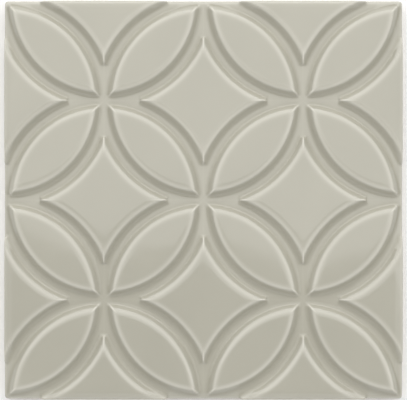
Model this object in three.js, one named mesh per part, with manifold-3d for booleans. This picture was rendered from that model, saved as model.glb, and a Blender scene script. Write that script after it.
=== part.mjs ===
// A square relief wall tile, pressed from clay in one piece and glazed on its face.
// Interlocking circular grooves run between raised petals, which meet in four-petal flowers, and
// raised diamonds with hollow sides. The pattern ends on the tile's edges half way through a
// diamond, so it runs on over the joint into the next tile. The back has keying grooves.
// Millimetres, +Z up: the tile lies on its back, its centre over the origin.
import * as THREE from "three";
import { mergeVertices } from "three/addons/utils/BufferGeometryUtils.js";
import Module from "manifold-3d";

const wasm = await Module();
wasm.setup();

// The slab
const tileSide = 148;
const grooveFloorHeight = 7.2; // from the back to the floor of the relief's grooves
const reliefHeight = 2.2; // from that floor to the top of the raised fields
const arrisRadius = 1.2; // of the rounded edges round the face and the back
const arrisSegments = 3;
const faceCornerRadius = 0.4; // of the flat face's corners, inside its rounded edges
const cornerSegments = 3;

// The pattern
const flowersPerSide = 2;
const circleSegments = 40; // round each whole circle, a multiple of four
const tipSetback = 2.55; // from a groove's centre line to where a field's outline comes to its point

// The groove's half section, from its centre line out
const floorHalfWidth = 0.5; // flat floor
const filletRadius = 1.9; // hollow curve from the floor into the side
const filletSegments = 2;
const sideSlope = THREE.MathUtils.degToRad(48);
const shoulderRadius = 1.4; // rounded top of the side
const shoulderSegments = 1;

// The keying grooves in the back
const keyWidth = 6.5;
const keyRibWidth = 5; // clay left between two of them
const keyDepth = 0.8;
const keyMargin = 5; // least clay left round the whole set
const keyEndSegments = 6;

const overlap = 1; // how far a solid runs into, or past, what it is joined to or cut from
const thickness = grooveFloorHeight + reliefHeight;
const circleRadius = tileSide / (2 * flowersPerSide);

// A closed three.js geometry as a solid that can be cut and joined.
function solidFrom(geometry) {
  geometry.deleteAttribute("normal");
  geometry.deleteAttribute("uv");
  const merged = mergeVertices(geometry, 1e-4);
  return new wasm.Manifold(
    new wasm.Mesh({
      numProp: 3,
      vertProperties: merged.attributes.position.array,
      triVerts: new Uint32Array(merged.index.array),
    }),
  );
}

// A solid as a three.js geometry again.
function geometryFrom(solid) {
  const { vertProperties, triVerts } = solid.getMesh();
  const geometry = new THREE.BufferGeometry();
  geometry.setAttribute("position", new THREE.BufferAttribute(vertProperties, 3));
  geometry.setIndex(new THREE.BufferAttribute(triVerts, 1));
  geometry.computeVertexNormals();
  return geometry;
}

// The outline of a square with rounded corners, centred on the origin.
function roundedSquare(side, radius) {
  const reach = side / 2;
  const straight = reach - radius;
  const outline = new THREE.Shape();
  outline.moveTo(-straight, -reach);
  outline.lineTo(straight, -reach);
  outline.absarc(straight, -straight, radius, -Math.PI / 2, 0);
  outline.lineTo(reach, straight);
  outline.absarc(straight, straight, radius, 0, Math.PI / 2);
  outline.lineTo(-straight, reach);
  outline.absarc(-straight, straight, radius, Math.PI / 2, Math.PI);
  outline.lineTo(-reach, -straight);
  outline.absarc(-straight, -straight, radius, Math.PI, 1.5 * Math.PI);
  return outline;
}

// A square slab that stands on z = 0, with rounded edges above and below.
function roundedSlab(height) {
  const face = roundedSquare(tileSide - 2 * arrisRadius, faceCornerRadius);
  const slab = new THREE.ExtrudeGeometry(face, {
    depth: height - 2 * arrisRadius,
    bevelThickness: arrisRadius,
    bevelSize: arrisRadius,
    bevelSegments: arrisSegments,
    curveSegments: cornerSegments,
  });
  slab.translate(0, 0, arrisRadius);
  return solidFrom(slab);
}

// One side of the groove's section as points (distance from the centre line, height), from the
// floor up to the flat of the raised field. Both curves get smaller where the relief is too low.
function grooveSide() {
  const curveDrop = 1 - Math.cos(sideSlope);
  const curveRise = (filletRadius + shoulderRadius) * curveDrop;
  const curveShare = Math.min(1, reliefHeight / curveRise);
  const fillet = filletRadius * curveShare;
  const shoulder = shoulderRadius * curveShare;
  const straightRun = (reliefHeight - curveRise * curveShare) / Math.tan(sideSlope);
  const mouthHalfWidth =
    floorHalfWidth + (fillet + shoulder) * Math.sin(sideSlope) + straightRun;
  const points = [];
  for (let i = 0; i <= filletSegments; i++) {
    const turn = (sideSlope * i) / filletSegments;
    points.push(
      new THREE.Vector2(
        floorHalfWidth + fillet * Math.sin(turn),
        grooveFloorHeight + fillet * (1 - Math.cos(turn)),
      ),
    );
  }
  for (let i = 0; i <= shoulderSegments; i++) {
    const turn = sideSlope * (1 - i / shoulderSegments);
    points.push(
      new THREE.Vector2(
        mouthHalfWidth - shoulder * Math.sin(turn),
        thickness - shoulder * (1 - Math.cos(turn)),
      ),
    );
  }
  return points;
}

// A plate turned round the z axis in so many flat sides, with the given rim. It starts below the
// grooves' floor, and ends level with the top of its rim.
function turnedPlate(rim, sides) {
  const bottom = grooveFloorHeight - overlap;
  const section = [
    new THREE.Vector2(0, bottom),
    new THREE.Vector2(rim[0].x, bottom),
    ...rim,
    new THREE.Vector2(0, rim[rim.length - 1].y),
  ];
  const plate = new THREE.LatheGeometry(section, sides, Math.PI / sides);
  plate.rotateX(Math.PI / 2);
  return solidFrom(plate);
}

// All that lies inside a circular groove, up to the flat of its fields.
function insideOfGroove() {
  const rim = grooveSide().map((p) => new THREE.Vector2(circleRadius - p.x, p.y));
  return turnedPlate(rim, circleSegments);
}

// A circular groove together with its inside, which runs past the fields' tops.
function grooveAndInside() {
  const rim = grooveSide().map((p) => new THREE.Vector2(circleRadius + p.x, p.y));
  rim.push(new THREE.Vector2(rim[rim.length - 1].x, thickness + overlap));
  return turnedPlate(rim, circleSegments);
}

// A square plate that blunts the feet of a field's points. Its rim, which faces along x and y, is a
// groove's side too, and it crosses each point at the distance given from the field's middle. The
// point is square below there and sharp above.
function pointTrimmer(pointFromMiddle) {
  const sides = 4;
  const reach = pointFromMiddle + tipSetback;
  const toCorner = 1 / Math.cos(Math.PI / sides);
  return turnedPlate(
    grooveSide().map((p) => new THREE.Vector2((reach - p.x) * toCorner, p.y)),
    sides,
  );
}

// The raised petal along the line x = y, with its middle over the origin: what two circles share.
function petal() {
  const inside = insideOfGroove();
  const toCentre = circleRadius / 2;
  const pointFromMiddle = Math.sqrt((circleRadius - tipSetback) ** 2 - 2 * toCentre ** 2);
  return inside
    .translate([-toCentre, toCentre, 0])
    .intersect(inside.translate([toCentre, -toCentre, 0]))
    .intersect(pointTrimmer(pointFromMiddle).rotate([0, 0, 45]));
}

// The raised diamond with its middle over the origin: what the four circles round it leave.
function diamond() {
  const outside = grooveAndInside();
  const pointFromMiddle =
    circleRadius - Math.sqrt((circleRadius + tipSetback) ** 2 - circleRadius ** 2);
  let field = pointTrimmer(pointFromMiddle);
  for (const x of [-circleRadius, circleRadius]) {
    for (const y of [-circleRadius, circleRadius]) {
      field = field.subtract(outside.translate([x, y, 0]));
    }
  }
  return field;
}

// All the petals and diamonds, each in its place. The petals stand in the squares between the
// circles' centres, every other one turned, and a diamond stands on each centre.
function fields() {
  const steps = 2 * flowersPerSide;
  const petals = [petal(), petal().rotate([0, 0, 90])];
  const onCentre = diamond();
  const placed = [];
  for (let column = 0; column <= steps; column++) {
    for (let row = 0; row <= steps; row++) {
      const x = column * circleRadius - tileSide / 2;
      const y = row * circleRadius - tileSide / 2;
      const parity = (column + row) % 2;
      if (parity === 1) {
        placed.push(onCentre.translate([x, y, 0]));
      }
      if (column < steps && row < steps) {
        const half = circleRadius / 2;
        placed.push(petals[parity].translate([x + half, y + half, 0]));
      }
    }
  }
  return placed.reduce((joined, field) => joined.add(field));
}

// The shallow grooves with round ends that key the back into its adhesive. A rib runs along the
// middle, and the same border is left on all four sides.
function keyCutters() {
  const pitch = keyWidth + keyRibWidth;
  const keyedHalf = tileSide / 2 - keyMargin;
  const rowsPerHalf = Math.floor((keyedHalf + keyRibWidth / 2) / pitch);
  const reach = rowsPerHalf * pitch - keyRibWidth / 2;
  const straight = reach - keyWidth / 2;
  const outline = new THREE.Shape();
  outline.moveTo(-straight, -keyWidth / 2);
  outline.lineTo(straight, -keyWidth / 2);
  outline.absarc(straight, 0, keyWidth / 2, -Math.PI / 2, Math.PI / 2);
  outline.lineTo(-straight, keyWidth / 2);
  outline.absarc(-straight, 0, keyWidth / 2, Math.PI / 2, 1.5 * Math.PI);
  const slot = new THREE.ExtrudeGeometry(outline, {
    depth: keyDepth + overlap,
    bevelEnabled: false,
    curveSegments: keyEndSegments,
  });
  slot.translate(0, 0, -overlap);
  const cutter = solidFrom(slot);
  const cutters = [];
  for (let row = 0; row < rowsPerHalf; row++) {
    const offset = (row + 0.5) * pitch;
    cutters.push(cutter.translate([0, offset, 0]));
    cutters.push(cutter.translate([0, -offset, 0]));
  }
  return cutters;
}

// The whole tile: the fields, trimmed to the full slab, on the slab below the grooves' floor.
function tileSolid() {
  let tile = roundedSlab(thickness).intersect(fields()).add(roundedSlab(grooveFloorHeight));
  for (const cutter of keyCutters()) {
    tile = tile.subtract(cutter);
  }
  return tile;
}

const glaze = new THREE.MeshStandardMaterial({
  color: 0xbab7a9,
  roughness: 0.12,
  metalness: 0,
});

const tile = new THREE.Mesh(geometryFrom(tileSolid()), glaze);
tile.name = "tile";

const part = new THREE.Group();
part.add(tile);

export default part;
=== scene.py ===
"""A square relief wall tile, pressed from pale clay and glazed, lying on its back on a pale floor.

Circular grooves cross each other and leave raised petals and diamonds. The relief is made square by
square from one groove section, then gets its rounded edges, its straight sides and its keyed back,
all in one closed mesh.
"""

import logging
import math
from dataclasses import dataclass, field
from enum import Enum

import bmesh
import bpy
import numpy as np
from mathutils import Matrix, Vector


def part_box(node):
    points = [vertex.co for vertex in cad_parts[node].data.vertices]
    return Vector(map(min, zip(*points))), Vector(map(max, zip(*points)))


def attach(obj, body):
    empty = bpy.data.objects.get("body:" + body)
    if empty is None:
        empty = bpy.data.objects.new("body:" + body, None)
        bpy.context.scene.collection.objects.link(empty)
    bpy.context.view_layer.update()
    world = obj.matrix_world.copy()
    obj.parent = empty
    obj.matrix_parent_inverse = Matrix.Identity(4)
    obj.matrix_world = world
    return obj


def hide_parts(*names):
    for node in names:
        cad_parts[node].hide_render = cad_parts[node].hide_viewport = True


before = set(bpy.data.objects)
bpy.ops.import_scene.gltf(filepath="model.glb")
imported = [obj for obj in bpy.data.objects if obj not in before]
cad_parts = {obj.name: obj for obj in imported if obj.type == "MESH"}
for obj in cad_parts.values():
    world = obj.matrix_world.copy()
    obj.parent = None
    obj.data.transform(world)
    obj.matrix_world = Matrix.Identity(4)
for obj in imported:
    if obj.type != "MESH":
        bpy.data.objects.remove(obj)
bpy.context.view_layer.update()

log = logging.getLogger("tile")

MM = 0.001
PHOTO_WIDTH = 407
WELD = 0.002 * MM


class Skin(Enum):
    """The two surfaces of the tile, by the place of their material on it."""

    GLAZED = 0
    BISCUIT = 1


class Across(Enum):
    """Which way a key groove's ends face."""

    RIGHT = 1
    LEFT = -1


def linear(hex_colour: str) -> tuple[float, float, float, float]:
    """Turns an sRGB hex colour into the linear colour that a shader reads.

    Args:
        hex_colour: Six hex digits, red first.

    Returns:
        Linear red, green and blue, and an alpha of 1.
    """
    channels = [int(hex_colour[i : i + 2], 16) / 255 for i in (0, 2, 4)]
    red, green, blue = [c / 12.92 if c <= 0.04045 else ((c + 0.055) / 1.055) ** 2.4 for c in channels]
    return red, green, blue, 1.0


def add_node(tree: bpy.types.NodeTree, kind: str, inputs: dict | None = None, **settings) -> bpy.types.Node:
    """Adds one node, with its settings, and sets or links its inputs.

    Args:
        tree: The node tree that gets it.
        kind: The node's type name.
        inputs: A value, or an output socket to link, for each input's name or number.
        **settings: The node's own properties.

    Returns:
        The new node.
    """
    node = tree.nodes.new(kind)
    for name, value in settings.items():
        setattr(node, name, value)
    for name, value in (inputs or {}).items():
        if isinstance(value, bpy.types.NodeSocket):
            tree.links.new(value, node.inputs[name])
        else:
            node.inputs[name].default_value = value
    return node


def add_noise(
    tree: bpy.types.NodeTree, place: bpy.types.NodeSocket, size: float, detail: float
) -> bpy.types.NodeSocket:
    """Adds a noise texture with blotches of about the given size, and returns its value."""
    inputs = {"Vector": place, "Scale": 1 / size, "Detail": detail}
    return add_node(tree, "ShaderNodeTexNoise", inputs).outputs["Fac"]


def add_mix(
    tree: bpy.types.NodeTree,
    share: bpy.types.NodeSocket,
    first: bpy.types.NodeSocket | tuple,
    second: tuple,
) -> bpy.types.NodeSocket:
    """Adds a mix of two colours, in which the second has the given share, and returns it."""
    inputs = {0: share, 6: first, 7: second}
    return add_node(tree, "ShaderNodeMix", inputs, data_type="RGBA").outputs[2]


def new_material(name: str) -> tuple[bpy.types.Material, bpy.types.NodeTree]:
    """Makes an empty node material and returns it with its tree."""
    material = bpy.data.materials.new(name)
    material.use_nodes = True
    material.node_tree.nodes.clear()
    return material, material.node_tree


def evaluated_mesh(piece: bpy.types.Object) -> bpy.types.Mesh:
    """Returns the mesh that an object's modifiers make, as a plain mesh of its own."""
    depsgraph = bpy.context.evaluated_depsgraph_get()
    return bpy.data.meshes.new_from_object(piece.evaluated_get(depsgraph))


def grown_mesh(name: str, seed: bpy.types.Mesh, tree: bpy.types.NodeTree, values: dict) -> bpy.types.Mesh:
    """Runs a Geometry Nodes tree on a mesh and keeps the result as a plain mesh.

    Args:
        name: Name of the object that holds the modifier meanwhile.
        seed: The mesh that the tree starts from.
        tree: The tree, whose first input is that mesh.
        values: A value for each of its other inputs, by name.

    Returns:
        The finished mesh.
    """
    holder = bpy.data.objects.new(name, seed)
    bpy.context.scene.collection.objects.link(holder)
    modifier = holder.modifiers.new(name, "NODES")
    modifier.node_group = tree
    for item in tree.interface.items_tree:
        if item.in_out == "INPUT" and item.name in values:
            modifier[item.identifier] = values[item.name]
    mesh = evaluated_mesh(holder)
    bpy.data.objects.remove(holder)
    return mesh


@dataclass(frozen=True)
class Bend:
    """A round stretch of the groove's section, which turns its slope from one angle to another."""

    radius: float
    slope_from: float
    slope_to: float
    steps: int

    def points(self, refine: int) -> tuple[np.ndarray, np.ndarray]:
        """Walks along the stretch.

        Args:
            refine: How many times finer than its own steps the walk is.

        Returns:
            The distance out and the height gained at each step, after its start.
        """
        slope = np.linspace(self.slope_from, self.slope_to, self.steps * refine + 1)[1:]
        out = self.radius * np.abs(np.sin(slope) - math.sin(self.slope_from))
        up = self.radius * np.abs(np.cos(slope) - math.cos(self.slope_from))
        return out, up


@dataclass(frozen=True)
class GrooveSection:
    """Half of a groove's section, from its centre line out to the level top of a raised field.

    A flat floor runs by a hollow fillet into a steep straight side. The side turns over a rounded
    shoulder into a crown, which levels out slowly, as glaze drawn off an edge leaves it.
    """

    relief: float
    floor_half_width: float = 0.5 * MM
    floor_steps: int = 1
    steepest: float = math.radians(48)
    side_steps: int = 2
    fillet_radius: float = 1.9 * MM
    shoulder_radius: float = 1.6 * MM
    crown_slope: float = math.radians(16)
    crown_radius: float = 6.4 * MM
    dome_slope: float = math.radians(3)
    dome_radius: float = 20.6 * MM

    def bends(self) -> tuple[Bend, ...]:
        """Returns the fillet, the shoulder, the crown and the dome."""
        return (
            Bend(self.fillet_radius, 0, self.steepest, steps=4),
            Bend(self.shoulder_radius, self.steepest, self.crown_slope, steps=4),
            Bend(self.crown_radius, self.crown_slope, self.dome_slope, steps=3),
            Bend(self.dome_radius, self.dome_slope, 0, steps=2),
        )

    def outline(self, refine: int = 1) -> tuple[np.ndarray, np.ndarray]:
        """Draws the section.

        Args:
            refine: How many times finer than the mesh's rows it is drawn.

        Returns:
            Distances from the centre line, and the heights over the groove's floor there.
        """
        fillet, *tops = self.bends()
        curved_rise = sum(bend.points(1)[1][-1] for bend in (fillet, *tops))
        straight_rise = self.relief - curved_rise
        distances = [np.linspace(0, self.floor_half_width, self.floor_steps * refine + 1)]
        heights = [np.zeros(self.floor_steps * refine + 1)]
        for bend in (fillet, None, *tops):
            if bend is None:
                share = np.linspace(0, 1, self.side_steps * refine + 1)[1:]
                out, up = share * straight_rise / math.tan(self.steepest), share * straight_rise
            else:
                out, up = bend.points(refine)
            distances.append(distances[-1][-1] + out)
            heights.append(heights[-1][-1] + up)
        return np.concatenate(distances), np.concatenate(heights)


@dataclass
class ReliefPattern:
    """The interlocking circles that the grooves follow, and the height that they leave everywhere.

    Each raised field comes to sharp points on one outline, which lies the setback away from the
    grooves' centre lines. Below that outline the side runs round the points, steeper on a point's
    axis by its bluntness. Above it the slopes from both sides meet in a ridge. The ridge softens as
    it goes in, from the sharpest width towards that of softness, and is half way there at the depth
    of softening.
    """

    side: float
    floor_height: float
    section: GrooveSection
    flowers_per_side: int = 2
    setback: float = 2.55 * MM
    petal_bluntness: float = 0.1
    diamond_bluntness: float = 1.6
    softness: float = 2.0 * MM
    softening: float = 1.3 * MM
    sharpest: float = 0.001 * MM
    radius: float = field(init=False)
    petal_point: float = field(init=False)
    diamond_point: float = field(init=False)
    petal_starts: float = field(init=False)
    diamond_starts: float = field(init=False)
    section_out: np.ndarray = field(init=False)
    section_up: np.ndarray = field(init=False)

    def __post_init__(self) -> None:
        """Works out the circles and the fields' points from the tile's side."""
        self.radius = self.side / (2 * self.flowers_per_side)
        inside, outside = self.radius - self.setback, self.radius + self.setback
        self.petal_point = (self.radius - math.sqrt(2 * inside**2 - self.radius**2)) / 2
        self.diamond_point = math.sqrt(outside**2 - self.radius**2)
        self.petal_starts = math.atan2(self.petal_point, self.radius - self.petal_point)
        self.diamond_starts = math.atan2(self.diamond_point, self.radius)
        self.section_out, self.section_up = self.section.outline(refine=12)

    def folded(self, x: np.ndarray, y: np.ndarray) -> tuple[np.ndarray, np.ndarray]:
        """Folds places over the pattern's mirror lines, onto an eighth of one flower.

        Args:
            x: The points' places across the tile.
            y: The points' places up the tile.

        Returns:
            Their distances from the flower's middle along the two sides of a square, the longer first.
        """
        period = 2 * self.radius
        across, up = (self.radius - np.abs(self.radius - np.abs(place) % period) for place in (x, y))
        long, short = np.maximum(across, up), np.minimum(across, up)
        past = long + short > self.radius
        return np.where(past, self.radius - short, long), np.where(past, self.radius - long, short)

    def from_circles(self, x: np.ndarray, y: np.ndarray) -> tuple[np.ndarray, np.ndarray]:
        """Measures how far places are from the two circles that bound their field.

        Args:
            x: The points' places across the tile.
            y: The points' places up the tile.

        Returns:
            The distance from the nearer circle, less than 0 on the petal's side, and from the other.
        """
        long, short = self.folded(x, y)
        nearer = np.hypot(long, self.radius - short) - self.radius
        petal_other = self.radius - np.hypot(self.radius - long, short)
        diamond_other = np.hypot(long, self.radius + short) - self.radius
        return nearer, np.where(nearer < 0, petal_other, diamond_other)

    @staticmethod
    def from_point(along: np.ndarray, across: np.ndarray, widest: float, bluntness: float) -> np.ndarray:
        """Measures how far places at the foot of a field are from the field's point.

        Args:
            along: Their distances from the point along the field's axis.
            across: Their distances from that axis.
            widest: The angle from the axis at which the field's sides take over from its point.
            bluntness: How much steeper the point is on its axis than its sides are.

        Returns:
            The distances, longer towards the axis than they are in the plane.
        """
        share = np.minimum(np.arctan2(across, along) / widest, 1)
        return np.hypot(along, across) * (1 + bluntness * np.cos(math.pi / 2 * share) ** 2)

    def from_groove(self, x: np.ndarray, y: np.ndarray) -> np.ndarray:
        """Works out how far out each place lies on the groove's section.

        Args:
            x: The points' places across the tile.
            y: The points' places up the tile.

        Returns:
            Distances from the section's centre line, as if the groove were straight and alone.
        """
        long, short = self.folded(x, y)
        nearer, other = self.from_circles(x, y)
        turn = np.arctan2(long, self.radius - short)
        diagonal = math.sqrt(0.5)
        to_petal_point = self.from_point(
            (2 * self.petal_point - long - short) * diagonal,
            (long - short) * diagonal,
            math.pi / 4 + self.petal_starts,
            self.petal_bluntness,
        )
        to_diamond_point = self.from_point(
            self.diamond_point - long, short, math.pi / 2 - self.diamond_starts, self.diamond_bluntness
        )
        to_petal = np.where(turn > self.petal_starts, np.abs(nearer + self.setback), to_petal_point)
        to_diamond = np.where(turn > self.diamond_starts, np.abs(nearer - self.setback), to_diamond_point)
        on_side = np.maximum(self.setback - np.minimum(to_petal, to_diamond), 0)
        nearest = np.minimum(np.abs(nearer), other)
        depth = np.maximum(nearest - self.setback, 0)
        blend = np.maximum(self.softness * depth / (depth + self.softening), self.sharpest)
        share = np.maximum(1 - np.abs(np.abs(nearer) - other) / blend, 0)
        on_top = nearest - share**2 * blend / 4
        return np.where(np.abs(nearer) < self.setback, on_side, on_top)

    def height(self, x: np.ndarray, y: np.ndarray) -> np.ndarray:
        """Returns the height of the relief over the back at each place on the tile."""
        return self.floor_height + np.interp(self.from_groove(x, y), self.section_out, self.section_up)


@dataclass
class ReliefSquare:
    """One square of the pattern, with one petal on its diagonal and a quarter diamond on each side.

    Its mesh follows the two grooves: rays from each circle's centre cross rows at fixed distances
    from the groove's centre line, so the ridges and the shoulders have edges of their own.
    """

    pattern: ReliefPattern
    rays: int = 72
    samples_per_ray: int = 50
    crowding: float = 2.4
    crowd_width: float = math.radians(3.5)
    rows_beyond: int = 1

    def turns(self) -> np.ndarray:
        """Returns the rays' angles round the circle, closest together where the fields have points."""
        even = np.linspace(0, math.pi / 2, self.samples_per_ray * self.rays)
        crowd = np.ones_like(even)
        for starts in (self.pattern.petal_starts, self.pattern.diamond_starts):
            for turn in (starts, math.pi / 2 - starts):
                crowd += self.crowding * np.exp(-(((even - turn) / self.crowd_width) ** 2))
        passed = np.cumsum(crowd) - crowd[0]
        return np.interp(np.linspace(0, passed[-1], self.rays + 1), passed, even)

    def offsets(self, reach: np.ndarray) -> np.ndarray:
        """Spaces the rows between the groove's centre line and the end of each ray.

        Args:
            reach: How far each ray goes on, past the centre line.

        Returns:
            One row of distances for each ray, which crowd together where the ray is short.
        """
        stations = self.pattern.section.outline()[0]
        level = stations[-1] + (np.arange(self.rows_beyond) + 1) * self.pattern.radius
        stations = np.concatenate([stations, level])
        even = np.linspace(0, 1, len(stations))
        return np.minimum(stations[None, :], reach[:, None] * even[None, :])

    def half(self) -> tuple[np.ndarray, list[tuple[int, ...]]]:
        """Makes the half of the square below its diagonal, from its corner at the tile's centre.

        Returns:
            The places of its points in the plane, and its faces.
        """
        turn = self.turns()[1:-1]
        radius = self.pattern.radius
        inward = radius * (1 - 1 / (np.sin(turn) + np.cos(turn)))
        outward = radius * (1 / np.maximum(np.sin(turn), np.cos(turn)) - 1)
        across = np.hstack([-self.offsets(inward)[:, :0:-1], self.offsets(outward)])
        from_centre = radius + across
        x = from_centre * np.sin(turn)[:, None]
        y = radius - from_centre * np.cos(turn)[:, None]
        rays, rows = x.shape
        places = np.column_stack([x.ravel(), y.ravel()])
        places = np.vstack([places, [0, 0], [radius, radius]])
        near_tip, far_tip = rays * rows, rays * rows + 1
        faces = []
        for row in range(rows - 1):
            faces.append((near_tip, row + 1, row))
            last = (rays - 1) * rows + row
            faces.append((far_tip, last, last + 1))
            for ray in range(rays - 1):
                start = ray * rows + row
                faces.append((start, start + 1, start + rows + 1, start + rows))
        return places, faces

    def mesh(self) -> bpy.types.Mesh:
        """Makes the whole square, centred on the origin, with the relief's height in it."""
        places, faces = self.half()
        count = len(places)
        places = np.vstack([places, places[:, ::-1]])
        faces = faces + [tuple(count + corner for corner in reversed(face)) for face in faces]
        height = self.pattern.height(places[:, 0], places[:, 1])
        centred = places - self.pattern.radius / 2
        mesh = bpy.data.meshes.new("relief_square")
        mesh.from_pydata(np.column_stack([centred, height]).tolist(), [], faces)
        return mesh


@dataclass
class ReliefFace:
    """The whole face: the square of the pattern laid out over the tile, each turned to its neighbour."""

    pattern: ReliefPattern
    square: ReliefSquare

    def tree(self) -> bpy.types.NodeTree:
        """Builds the Geometry Nodes tree that lays out the squares and welds them."""
        tree = bpy.data.node_groups.new("squares_of_the_relief", "GeometryNodeTree")
        sockets = tree.interface
        sockets.new_socket("Square", in_out="INPUT", socket_type="NodeSocketGeometry")
        sockets.new_socket("Squares per side", in_out="INPUT", socket_type="NodeSocketInt")
        sockets.new_socket("Square side", in_out="INPUT", socket_type="NodeSocketFloat")
        sockets.new_socket("Weld distance", in_out="INPUT", socket_type="NodeSocketFloat")
        sockets.new_socket("Material", in_out="INPUT", socket_type="NodeSocketMaterial")
        sockets.new_socket("Face", in_out="OUTPUT", socket_type="NodeSocketGeometry")
        given = add_node(tree, "NodeGroupInput").outputs
        count = given["Squares per side"]
        gaps = add_node(tree, "ShaderNodeMath", {0: count, 1: 1.0}, operation="SUBTRACT").outputs[0]
        span = add_node(tree, "ShaderNodeMath", {0: gaps, 1: given["Square side"]}, operation="MULTIPLY")
        grid = add_node(
            tree,
            "GeometryNodeMeshGrid",
            {"Size X": span.outputs[0], "Size Y": span.outputs[0], "Vertices X": count, "Vertices Y": count},
        )
        index = add_node(tree, "GeometryNodeInputIndex").outputs[0]
        columns = add_node(tree, "ShaderNodeMath", {0: index, 1: count}, operation="DIVIDE").outputs[0]
        column = add_node(tree, "ShaderNodeMath", {0: columns}, operation="FLOOR").outputs[0]
        row = add_node(tree, "ShaderNodeMath", {0: index, 1: count}, operation="MODULO").outputs[0]
        place = add_node(tree, "ShaderNodeMath", {0: column, 1: row}, operation="ADD").outputs[0]
        every_other = add_node(tree, "ShaderNodeMath", {0: place, 1: 2.0}, operation="MODULO").outputs[0]
        quarter = add_node(tree, "ShaderNodeMath", {0: every_other, 1: math.pi / 2}, operation="MULTIPLY")
        turn = add_node(tree, "ShaderNodeCombineXYZ", {"Z": quarter.outputs[0]}).outputs[0]
        laid = add_node(
            tree,
            "GeometryNodeInstanceOnPoints",
            {"Points": grid.outputs["Mesh"], "Instance": given["Square"], "Rotation": turn},
        ).outputs[0]
        real = add_node(tree, "GeometryNodeRealizeInstances", {"Geometry": laid}).outputs[0]
        welded = add_node(
            tree, "GeometryNodeMergeByDistance", {"Geometry": real, "Distance": given["Weld distance"]}
        ).outputs[0]
        dressed = add_node(
            tree, "GeometryNodeSetMaterial", {"Geometry": welded, "Material": given["Material"]}
        ).outputs[0]
        add_node(tree, "NodeGroupOutput", {"Face": dressed})
        return tree

    def mesh(self, glaze: bpy.types.Material) -> bpy.types.Mesh:
        """Makes the face as far as the tile's sides, with no rounded edges yet.

        Args:
            glaze: The face's material.

        Returns:
            The welded mesh.
        """
        values = {
            "Squares per side": 2 * self.pattern.flowers_per_side,
            "Square side": self.pattern.radius,
            "Weld distance": WELD,
            "Material": glaze,
        }
        return grown_mesh("relief_face", self.square.mesh(), self.tree(), values)


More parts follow.
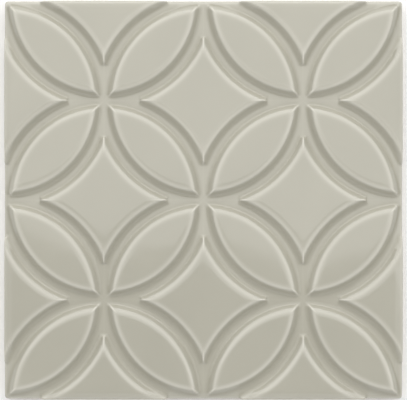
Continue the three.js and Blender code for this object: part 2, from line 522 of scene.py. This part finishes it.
@dataclass
class KeyedBack:
    """The shallow grooves with round ends that key the back into its adhesive."""

    side: float
    groove_width: float = 6.5 * MM
    rib_width: float = 5.0 * MM
    depth: float = 0.8 * MM
    margin: float = 5.0 * MM
    rounding: float = 0.35 * MM
    rounding_steps: int = 3
    draft: float = 0.25 * MM
    end_steps: int = 10

    def rows_per_half(self) -> int:
        """Returns how many grooves fit on each side of the middle rib."""
        keyed_half = self.side / 2 - self.margin
        return math.floor((keyed_half + self.rib_width / 2) / self.pitch())

    def pitch(self) -> float:
        """Returns the distance from groove to groove."""
        return self.groove_width + self.rib_width

    def ring(self, inset: float, height: float) -> list[tuple[float, float, float]]:
        """Draws the groove's outline at one level.

        Args:
            inset: How far inside the groove's mouth the outline runs.
            height: Its height over the floor that the tile lies on.

        Returns:
            The outline's points, anticlockwise.
        """
        half_width = self.groove_width / 2
        reach = self.rows_per_half() * self.pitch() - self.rib_width / 2
        straight = reach - half_width
        points = []
        for end in Across:
            for step in range(self.end_steps + 1):
                turn = math.pi * (step / self.end_steps - 0.5)
                x = end.value * (straight + (half_width - inset) * math.cos(turn))
                y = end.value * (half_width - inset) * math.sin(turn)
                points.append((x, y, height))
        return points

    def groove_mesh(self) -> bpy.types.Mesh:
        """Makes one groove as an open shell: rounded mouth, drafted wall, rounded foot and floor."""
        rings = []
        for step in range(self.rounding_steps + 1):
            turn = math.pi / 2 * step / self.rounding_steps
            inset = self.rounding * math.sin(turn) - self.rounding
            rings.append((inset, self.rounding * (1 - math.cos(turn))))
        foot = self.depth - self.rounding
        for step in range(self.rounding_steps + 1):
            turn = math.pi / 2 * step / self.rounding_steps
            inset = self.draft + self.rounding * (1 - math.cos(turn))
            rings.append((inset, foot + self.rounding * math.sin(turn)))
        points = [point for inset, height in rings for point in self.ring(inset, height)]
        around = 2 * (self.end_steps + 1)
        faces = []
        for level in range(len(rings) - 1):
            for step in range(around):
                start, end = level * around + step, level * around + (step + 1) % around
                faces.append((start, end, end + around, start + around))
        first_of_floor = (len(rings) - 1) * around
        for step in range(self.end_steps):
            right, left = first_of_floor + step, first_of_floor + around - 1 - step
            faces.append((right, right + 1, left - 1, left))
        mesh = bpy.data.meshes.new("key_groove")
        mesh.from_pydata(points, [], faces)
        return mesh

    def tree(self) -> bpy.types.NodeTree:
        """Builds the Geometry Nodes tree that repeats the groove up the back."""
        tree = bpy.data.node_groups.new("key_grooves_of_the_back", "GeometryNodeTree")
        sockets = tree.interface
        sockets.new_socket("Groove", in_out="INPUT", socket_type="NodeSocketGeometry")
        sockets.new_socket("Grooves", in_out="INPUT", socket_type="NodeSocketInt")
        sockets.new_socket("Pitch", in_out="INPUT", socket_type="NodeSocketFloat")
        sockets.new_socket("Material", in_out="INPUT", socket_type="NodeSocketMaterial")
        sockets.new_socket("Grooves of the back", in_out="OUTPUT", socket_type="NodeSocketGeometry")
        given = add_node(tree, "NodeGroupInput").outputs
        count, pitch = given["Grooves"], given["Pitch"]
        gaps = add_node(tree, "ShaderNodeMath", {0: count, 1: 1.0}, operation="SUBTRACT").outputs[0]
        span = add_node(tree, "ShaderNodeMath", {0: gaps, 1: pitch}, operation="MULTIPLY").outputs[0]
        low = add_node(tree, "ShaderNodeMath", {0: span, 1: -0.5}, operation="MULTIPLY").outputs[0]
        start = add_node(tree, "ShaderNodeCombineXYZ", {"Y": low}).outputs[0]
        step = add_node(tree, "ShaderNodeCombineXYZ", {"Y": pitch}).outputs[0]
        line = add_node(
            tree, "GeometryNodeMeshLine", {"Count": count, "Start Location": start, "Offset": step}
        ).outputs[0]
        laid = add_node(
            tree, "GeometryNodeInstanceOnPoints", {"Points": line, "Instance": given["Groove"]}
        ).outputs[0]
        real = add_node(tree, "GeometryNodeRealizeInstances", {"Geometry": laid}).outputs[0]
        dressed = add_node(
            tree, "GeometryNodeSetMaterial", {"Geometry": real, "Material": given["Material"]}
        ).outputs[0]
        add_node(tree, "NodeGroupOutput", {"Grooves of the back": dressed})
        return tree

    def mesh(self, biscuit: bpy.types.Material) -> bpy.types.Mesh:
        """Makes all the grooves as open shells.

        Args:
            biscuit: The back's material.

        Returns:
            The shells in one mesh.
        """
        values = {"Grooves": 2 * self.rows_per_half(), "Pitch": self.pitch(), "Material": biscuit}
        return grown_mesh("key_grooves", self.groove_mesh(), self.tree(), values)


@dataclass(frozen=True)
class EdgeRound:
    """The rounded edge round the face: a wide gentle fall, then a tight turn into the side."""

    fall_width: float = 2.6 * MM
    fall_slope: float = math.radians(25)
    fall_steps: int = 4
    nose_radius: float = 0.8 * MM
    nose_steps: int = 5

    def rings(self) -> list[tuple[float, float]]:
        """Returns how far out and how far down each ring of points lies, from the face's border."""
        fall_radius = self.fall_width / math.sin(self.fall_slope)
        rings = []
        for step in range(1, self.fall_steps + 1):
            slope = self.fall_slope * step / self.fall_steps
            rings.append((fall_radius * math.sin(slope), fall_radius * (1 - math.cos(slope))))
        out, down = rings[-1]
        for step in range(1, self.nose_steps + 1):
            slope = self.fall_slope + (math.pi / 2 - self.fall_slope) * step / self.nose_steps
            further = self.nose_radius * (math.sin(slope) - math.sin(self.fall_slope))
            lower = self.nose_radius * (math.cos(self.fall_slope) - math.cos(slope))
            rings.append((out + further, down + lower))
        return rings

    def width(self) -> float:
        """Returns how far the rounded edge reaches in from the tile's side."""
        return self.rings()[-1][0]


@dataclass
class TileBody:
    """The whole tile in one closed mesh: relief face, rounded edges, sides and keyed back.

    The glaze colour is painted lighter at one distance out on the groove's section, for thin glaze and
    a painted highlight, and darker at another, for pooled glaze and painted shade. Its shares say how
    strong the lighter paint is over the shoulders and the rim, where along the ridges it is 1.
    """

    pattern: ReliefPattern
    face: ReliefFace
    back: KeyedBack
    edge: EdgeRound = EdgeRound()
    corner_steps: int = 8
    corner_squareness: float = 6.5
    side_steps: int = 2
    foot_radius: float = 0.9 * MM
    foot_steps: int = 4
    closest_border_points: float = 0.12 * MM
    # Where the lighter paint lies on the section, for thin glaze and a painted highlight over shoulders,
    # ridges and rim.
    thin_glaze_and_highlight_at: float = 3.6 * MM
    thin_glaze_and_highlight_inner_width: float = 0.5 * MM
    thin_glaze_and_highlight_outer_width: float = 0.95 * MM
    ridge_width: float = 0.6 * MM
    ridge_ends_at: float = 3.3 * MM
    nose_width: float = 1.5 * MM
    shoulder_share: float = 0.58
    # Where the darker paint lies on the section, for pooled glaze and painted shade at the feet of the
    # sides.
    pool_and_shade_at: float = 1.25 * MM
    pool_and_shade_width: float = 0.75 * MM
    rim_width: float = 0.8 * MM
    rim_share: float = 0.45

    def trimmed_face(self, mesh: bpy.types.Mesh) -> bmesh.types.BMesh:
        """Cuts the face off where its rounded edges begin.

        Args:
            mesh: The face as far as the tile's sides.

        Returns:
            The face that is left, open for edits.
        """
        body = bmesh.new()
        body.from_mesh(mesh)
        border = self.pattern.side / 2 - self.edge.width()
        for x, y in ((1, 0), (-1, 0), (0, 1), (0, -1)):
            bmesh.ops.bisect_plane(
                body,
                geom=body.verts[:] + body.edges[:] + body.faces[:],
                dist=WELD,
                plane_co=(x * border, y * border, 0),
                plane_no=(x, y, 0),
                clear_outer=True,
            )
        rim = [vert for vert in body.verts if vert.is_boundary]
        bmesh.ops.remove_doubles(body, verts=rim, dist=self.closest_border_points)
        return body

    def border(self, body: bmesh.types.BMesh) -> list[bmesh.types.BMVert]:
        """Returns the open face's border points in order round the tile, anticlockwise."""
        half = self.pattern.side / 2 - self.edge.width()

        def way_round(vert: bmesh.types.BMVert) -> float:
            """Returns how far round the border a point is, from the lower left corner."""
            x, y = vert.co.x, vert.co.y
            if abs(y + half) < WELD:
                return x + half
            if abs(x - half) < WELD:
                return 3 * half + y
            if abs(y - half) < WELD:
                return 5 * half - x
            return 7 * half - y

        return sorted((vert for vert in body.verts if vert.is_boundary), key=way_round)

    def columns(self, border: list[bmesh.types.BMVert]) -> list[tuple[bmesh.types.BMVert, np.ndarray]]:
        """Pairs each border point with the way out from it.

        Args:
            border: The border points in order.

        Returns:
            The points and directions, with a fan of directions at each of the four corners.
        """
        half = self.pattern.side / 2 - self.edge.width()
        columns = []
        for vert in border:
            x, y = vert.co.x, vert.co.y
            out_x = math.copysign(1, x) if abs(abs(x) - half) < WELD else 0
            out_y = math.copysign(1, y) if abs(abs(y) - half) < WELD else 0
            if out_x and out_y:
                first = math.atan2(out_y, out_x) - math.pi / 4
                for step in range(self.corner_steps + 1):
                    turn = first + math.pi / 2 * step / self.corner_steps
                    way_out = np.array([math.cos(turn), math.sin(turn)])
                    power = self.corner_squareness
                    columns.append((vert, way_out / np.sum(np.abs(way_out) ** power) ** (1 / power)))
            else:
                columns.append((vert, np.array([out_x, out_y], float)))
        return columns

    def levels(self, base: np.ndarray, out: np.ndarray) -> list[np.ndarray]:
        """Works out every ring of points below the face's border.

        Args:
            base: Where each column starts, in the plane.
            out: The way out from there.

        Returns:
            The rings' points, from the rounded edge down to the back.
        """
        rings = []
        for distance, drop in self.edge.rings():
            place = base + out * distance
            height = self.pattern.height(place[:, 0], place[:, 1]) - drop
            rings.append(np.column_stack([place, height]))
        top = rings[-1]
        for step in range(1, self.side_steps + 1):
            share = step / self.side_steps
            ring = top.copy()
            ring[:, 2] = top[:, 2] * (1 - share) + self.foot_radius * share
            rings.append(ring)
        for step in range(1, self.foot_steps + 1):
            turn = math.pi / 2 * step / self.foot_steps
            ring = top.copy()
            ring[:, :2] -= out * self.foot_radius * (1 - math.cos(turn))
            ring[:, 2] = self.foot_radius * (1 - math.sin(turn))
            rings.append(ring)
        return rings

    def add_sides(self, body: bmesh.types.BMesh) -> list[bmesh.types.BMEdge]:
        """Adds the rounded edges, the sides and the foot.

        Args:
            body: The trimmed face.

        Returns:
            The edges of the last ring, on the level of the back.
        """
        columns = self.columns(self.border(body))
        base = np.array([vert.co[:2] for vert, _ in columns])
        out = np.array([direction for _, direction in columns])
        upper = [vert for vert, _ in columns]
        first_biscuit_ring = len(self.edge.rings()) + self.side_steps
        for number, points in enumerate(self.levels(base, out)):
            lower = [body.verts.new(point) for point in points]
            for here in range(len(columns)):
                after = (here + 1) % len(columns)
                corners = [lower[here], lower[after], upper[after], upper[here]]
                if upper[here] is upper[after]:
                    corners.pop()
                skin = body.faces.new(corners)
                skin.smooth = True
                skin.material_index = (Skin.BISCUIT if number >= first_biscuit_ring else Skin.GLAZED).value
            upper = lower
        body.edges.ensure_lookup_table()
        return [edge for edge in body.edges if edge.is_boundary]

    def add_back(
        self, body: bmesh.types.BMesh, rim: list[bmesh.types.BMEdge], grooves: bpy.types.Mesh
    ) -> None:
        """Closes the back round the mouths of its grooves.

        Args:
            body: The tile, open below.
            rim: The edges of its opening.
            grooves: The key grooves, as open shells.
        """
        before = set(body.faces)
        body.from_mesh(grooves)
        for groove_face in set(body.faces) - before:
            groove_face.smooth = True
            groove_face.material_index = Skin.BISCUIT.value
        open_edges = [edge for edge in body.edges if edge.is_boundary]
        log.info("back: %d edges round the foot, %d to close", len(rim), len(open_edges))
        filled = bmesh.ops.triangle_fill(body, use_beauty=True, use_dissolve=False, edges=open_edges)
        for made in filled["geom"]:
            if isinstance(made, bmesh.types.BMFace):
                made.smooth = False
                made.material_index = Skin.BISCUIT.value

    def store_glaze(self, mesh: bpy.types.Mesh) -> None:
        """Stores where the glaze colour is painted lighter and darker: thin glaze and a painted highlight
        over shoulders, ridges and the rim, pooled glaze and painted shade at the sides' feet.

        Args:
            mesh: The finished tile.
        """
        places = np.empty(len(mesh.vertices) * 3)
        mesh.vertices.foreach_get("co", places)
        places = places.reshape(-1, 3)
        out = self.pattern.from_groove(places[:, 0], places[:, 1])
        width = np.where(out < self.thin_glaze_and_highlight_at, self.thin_glaze_and_highlight_inner_width, self.thin_glaze_and_highlight_outer_width)
        shoulder = np.exp(-(((out - self.thin_glaze_and_highlight_at) / width) ** 2))
        nearer, other = self.pattern.from_circles(places[:, 0], places[:, 1])
        above, below = out - self.ridge_ends_at, self.pattern.setback - out
        ridge = np.exp(-((np.maximum(above, 0) / self.thin_glaze_and_highlight_outer_width) ** 2))
        ridge *= np.exp(-((np.maximum(below, 0) / self.nose_width) ** 2))
        ridge *= np.exp(-(((np.abs(nearer) - other) / self.ridge_width) ** 2))
        from_side = self.pattern.side / 2 - np.abs(places[:, :2]).max(axis=1)
        rim = self.rim_share * np.exp(-((from_side / self.rim_width) ** 2))
        # Lighter paint: thin glaze and a painted highlight over the shoulders, the ridges and the rim.
        thin_glaze_and_highlight = np.maximum(np.maximum(self.shoulder_share * shoulder, ridge), rim)
        # Darker paint: pooled glaze and painted shade at the feet of the grooves' sides.
        pool_and_shade = np.exp(-(((out - self.pool_and_shade_at) / self.pool_and_shade_width) ** 2)) * (1 - thin_glaze_and_highlight)
        for name, values in (("glaze_thin_and_painted_highlight", thin_glaze_and_highlight), ("glaze_pool_and_painted_shade", pool_and_shade)):
            mesh.attributes.new(name, "FLOAT", "POINT").data.foreach_set("value", values.astype(np.float32))

    def build(self, glaze: bpy.types.Material, biscuit: bpy.types.Material) -> bpy.types.Object:
        """Makes the tile.

        Args:
            glaze: The material of the face and the sides.
            biscuit: The material of the back.

        Returns:
            The finished piece.
        """
        body = self.trimmed_face(self.face.mesh(glaze))
        for skin in body.faces:
            skin.smooth = True
            skin.material_index = Skin.GLAZED.value
        rim = self.add_sides(body)
        self.add_back(body, rim, self.back.mesh(biscuit))
        bmesh.ops.recalc_face_normals(body, faces=body.faces[:])
        open_edges = sum(not edge.is_manifold for edge in body.edges)
        log.info("tile: %d faces, %d open edges", len(body.faces), open_edges)
        mesh = bpy.data.meshes.new("relief_wall_tile")
        body.to_mesh(mesh)
        body.free()
        mesh.materials.append(glaze)
        mesh.materials.append(biscuit)
        self.store_glaze(mesh)
        piece = bpy.data.objects.new("relief_wall_tile", mesh)
        bpy.context.scene.collection.objects.link(piece)
        return piece


@dataclass(frozen=True)
class BiscuitFinish:
    """Fired white-body clay without glaze: matt, a little grainy, cream coloured.

    The eye sees no reflection, faint clouds of lighter and darker clay, and the press powder's grain.
    """

    light: str = "DDD3C2"
    dark: str = "CFC3B0"
    roughness: float = 0.88
    cloud_size: float = 14 * MM
    grain_size: float = 0.45 * MM
    grain_height: float = 0.035 * MM

    def material(self) -> bpy.types.Material:
        """Makes the material."""
        material, tree = new_material("fired_clay_biscuit")
        place = add_node(tree, "ShaderNodeTexCoord").outputs["Object"]
        clouds = add_noise(tree, place, self.cloud_size, detail=4.0)
        colour = add_mix(tree, clouds, linear(self.light), linear(self.dark))
        grain = add_noise(tree, place, self.grain_size, detail=3.0)
        bump = add_node(
            tree, "ShaderNodeBump", {"Height": grain, "Distance": self.grain_height, "Strength": 1.0}
        ).outputs[0]
        shader = add_node(
            tree,
            "ShaderNodeBsdfPrincipled",
            {"Base Color": colour, "Roughness": self.roughness, "Normal": bump},
        ).outputs[0]
        add_node(tree, "ShaderNodeOutputMaterial", {"Surface": shader})
        return material


@dataclass(frozen=True)
class GlazeFinish:
    """Gloss glaze in warm grey over pale clay, sprayed on and fired once.

    The eye sees crisp reflections that waver a little, a lighter line over the shoulders, the ridges
    and the rim, painted for thin glaze and as a painted highlight, a deeper tone at the feet of the
    grooves' sides, painted for pooled glaze and as painted shade, and bare clay low on the tile's sides,
    below a wandering line.
    """

    body: str = "B6B3A5"
    # Lighter colour, for thin glaze and a painted highlight over shoulders, ridges and rim.
    thin_glaze_and_highlight: str = "DAD7CB"
    # Darker colour, for pooled glaze and painted shade at the feet of the grooves' sides.
    pooled_glaze_and_shade: str = "A39F8F"
    clay: str = "D9CFBD"
    thin_glaze_and_highlight_share: float = 0.95
    pool_and_shade_share: float = 0.6
    ior: float = 1.6
    roughness_low: float = 0.05
    roughness_high: float = 0.09
    clay_roughness: float = 0.85
    cloud_size: float = 26 * MM
    cloud_contrast: float = 0.05
    sway_size: float = 11 * MM
    sway_height: float = 0.05 * MM
    peel_size: float = 1.3 * MM
    peel_height: float = 0.0012 * MM
    line_height: float = 3.4 * MM
    line_sway: float = 1.6 * MM
    line_sway_size: float = 9 * MM
    line_softness: float = 0.25 * MM

    def material(self) -> bpy.types.Material:
        """Makes the material."""
        material, tree = new_material("gloss_glaze_warm_grey")
        place = add_node(tree, "ShaderNodeTexCoord").outputs["Object"]
        colour = linear(self.body)
        # Mixes in the lighter colour, for thin glaze and a painted highlight, then the darker one, for
        # pooled glaze and painted shade.
        for stored, tint, most in (
            ("glaze_thin_and_painted_highlight", self.thin_glaze_and_highlight, self.thin_glaze_and_highlight_share),
            ("glaze_pool_and_painted_shade", self.pooled_glaze_and_shade, self.pool_and_shade_share),
        ):
            amount = add_node(tree, "ShaderNodeAttribute", attribute_name=stored).outputs["Fac"]
            share = add_node(tree, "ShaderNodeMath", {0: amount, 1: most}, operation="MULTIPLY").outputs[0]
            colour = add_mix(tree, share, colour, linear(tint))
        clouds = add_noise(tree, place, self.cloud_size, detail=3.0)
        shade = add_node(
            tree,
            "ShaderNodeMapRange",
            {"Value": clouds, "To Min": 1 - self.cloud_contrast, "To Max": 1 + self.cloud_contrast},
        ).outputs[0]
        colour = add_node(
            tree, "ShaderNodeVectorMath", {0: colour, "Scale": shade}, operation="SCALE"
        ).outputs[0]
        bare = self.bare_share(tree, place)
        colour = add_mix(tree, bare, colour, linear(self.clay))
        polish = add_node(
            tree,
            "ShaderNodeMapRange",
            {"Value": clouds, "To Min": self.roughness_low, "To Max": self.roughness_high},
        ).outputs[0]
        roughness = add_node(
            tree, "ShaderNodeMix", {0: bare, 2: polish, 3: self.clay_roughness}, data_type="FLOAT"
        ).outputs[0]
        sway = add_noise(tree, place, self.sway_size, detail=1.0)
        peel = add_noise(tree, place, self.peel_size, detail=1.0)
        swaying = add_node(
            tree, "ShaderNodeBump", {"Height": sway, "Distance": self.sway_height, "Strength": 1.0}
        ).outputs[0]
        peeling = add_node(
            tree,
            "ShaderNodeBump",
            {"Height": peel, "Distance": self.peel_height, "Strength": 1.0, "Normal": swaying},
        ).outputs[0]
        shader = add_node(
            tree,
            "ShaderNodeBsdfPrincipled",
            {"Base Color": colour, "Roughness": roughness, "IOR": self.ior, "Normal": peeling},
        ).outputs[0]
        add_node(tree, "ShaderNodeOutputMaterial", {"Surface": shader})
        return material

    def bare_share(self, tree: bpy.types.NodeTree, place: bpy.types.NodeSocket) -> bpy.types.NodeSocket:
        """Adds the nodes that say where the clay is bare: low on the sides, below a wandering line.

        Args:
            tree: The material's tree.
            place: The Object coordinates.

        Returns:
            A share of 0 on glaze and 1 on bare clay.
        """
        height = add_node(tree, "ShaderNodeSeparateXYZ", {0: place}).outputs["Z"]
        wander = add_noise(tree, place, self.line_sway_size, detail=3.0)
        swayed = add_node(
            tree, "ShaderNodeMath", {0: wander, 1: self.line_sway, 2: height}, operation="MULTIPLY_ADD"
        ).outputs[0]
        line = self.line_height + self.line_sway / 2
        return add_node(
            tree,
            "ShaderNodeMapRange",
            {
                "Value": swayed,
                "From Min": line - self.line_softness,
                "From Max": line + self.line_softness,
                "To Min": 1.0,
                "To Max": 0.0,
            },
        ).outputs[0]


@dataclass(frozen=True)
class Softbox:
    """A level light panel over the tile, in metres.

    It runs from near to far towards the photo's top and to half its width on both sides. It hangs
    at a height over the floor, moved to the right and turned about the vertical where that is
    given. Its glow is the brightness that it shows, where white paper is 1.
    """

    name: str
    near: float
    far: float
    half_width: float
    height: float
    glow: float
    turn: float = 0.0
    to_the_right: float = 0.0

    def build(self) -> None:
        """Hangs the panel."""
        depth, width = self.far - self.near, 2 * self.half_width
        panel = bpy.data.lights.new(self.name, "AREA")
        panel.shape = "RECTANGLE"
        panel.size, panel.size_y = width, depth
        panel.energy = math.pi * width * depth * self.glow
        lamp = bpy.data.objects.new(self.name, panel)
        lamp.location = (self.to_the_right, (self.near + self.far) / 2, self.height)
        lamp.rotation_euler = (0, 0, self.turn)
        bpy.context.scene.collection.objects.link(lamp)


@dataclass
class Studio:
    """The pale floor, the soft light and the camera that looks straight down on the tile."""

    side: float
    top: float
    camera_distance: float = 550 * MM
    sensor_width: float = 36.0
    tile_height_in_photo: float = 399.5
    nearest_seen: float = 0.01
    farthest_seen: float = 100.0
    floor_size: float = 8.0
    floor_colour: str = "FBFBFA"
    floor_roughness: float = 0.9
    room_colour: str = "F2F3F4"
    room_glow: float = 0.09
    softboxes: tuple[Softbox, ...] = (
        Softbox("softbox_overhead", -0.052, 0.62, 2.2, 1.0, 1.18, math.radians(-4)),
        Softbox("softbox_top", 0.6, 1.0, 2.2, 0.995, 1.17),
        Softbox("softbox_far_top", 1.0, 3.5, 2.2, 0.99, 2.55),
        Softbox("softbox_bottom", -3.0, -0.5, 2.2, 1.0, 0.56),
        Softbox("softbox_near_bottom", -1.5, -0.45, 0.5, 0.995, 0.3),
        Softbox("softbox_low_bottom", -6.0, -1.7, 3.0, 0.99, 0.83),
        Softbox("softbox_left", -0.45, -0.05, 0.95, 0.985, 0.55, to_the_right=-1.23),
        Softbox("softbox_right", -0.45, -0.05, 0.95, 0.985, 0.68, to_the_right=1.23),
    )

    def add_camera(self) -> None:
        """Sets the camera over the tile's middle, with the tile as tall in the frame as in the photo."""
        seen_width = PHOTO_WIDTH * self.side / self.tile_height_in_photo
        lens = bpy.data.cameras.new("camera")
        lens.sensor_width = self.sensor_width
        lens.lens = self.sensor_width * self.camera_distance / seen_width
        lens.clip_start, lens.clip_end = self.nearest_seen, self.farthest_seen
        camera = bpy.data.objects.new("camera", lens)
        camera.location = (0, 0, self.top + self.camera_distance)
        bpy.context.scene.collection.objects.link(camera)
        bpy.context.scene.camera = camera

    def add_room(self) -> None:
        """Fills the room round the tile with even light."""
        world = bpy.data.worlds.new("room")
        bpy.context.scene.world = world
        world.use_nodes = True
        world.node_tree.nodes.clear()
        glow = add_node(
            world.node_tree,
            "ShaderNodeBackground",
            {"Color": linear(self.room_colour), "Strength": self.room_glow},
        ).outputs[0]
        add_node(world.node_tree, "ShaderNodeOutputWorld", {"Surface": glow})

    def add_floor(self) -> None:
        """Lays the floor that the tile lies on."""
        half = self.floor_size / 2
        mesh = bpy.data.meshes.new("floor")
        corners = [(-half, -half, 0), (half, -half, 0), (half, half, 0), (-half, half, 0)]
        mesh.from_pydata(corners, [], [(0, 1, 2, 3)])
        material, tree = new_material("matt_white_board")
        shader = add_node(
            tree,
            "ShaderNodeBsdfPrincipled",
            {"Base Color": linear(self.floor_colour), "Roughness": self.floor_roughness},
        ).outputs[0]
        add_node(tree, "ShaderNodeOutputMaterial", {"Surface": shader})
        mesh.materials.append(material)
        floor = bpy.data.objects.new("floor", mesh)
        bpy.context.scene.collection.objects.link(floor)

    def build(self) -> None:
        """Sets up the whole studio."""
        self.add_camera()
        self.add_room()
        self.add_floor()
        for softbox in self.softboxes:
            softbox.build()
        bpy.context.scene.view_settings.view_transform = "Standard"


def main() -> None:
    """Builds the tile and the studio round it."""
    logging.basicConfig(level=logging.INFO, format="%(name)s: %(message)s")
    low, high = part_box("tile")
    side, top = high[0] - low[0], high[2]
    relief = 2.2 * MM
    Studio(side=side, top=top).build()
    log.info("studio: done")
    pattern = ReliefPattern(side=side, floor_height=top - relief, section=GrooveSection(relief=relief))
    face = ReliefFace(pattern, ReliefSquare(pattern))
    glaze, biscuit = GlazeFinish().material(), BiscuitFinish().material()
    tile = TileBody(pattern, face, KeyedBack(side)).build(glaze, biscuit)
    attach(tile, "root")
    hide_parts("tile")
    log.info("%s: %d points", tile.name, len(tile.data.vertices))


if __name__ == "__main__":
    main()
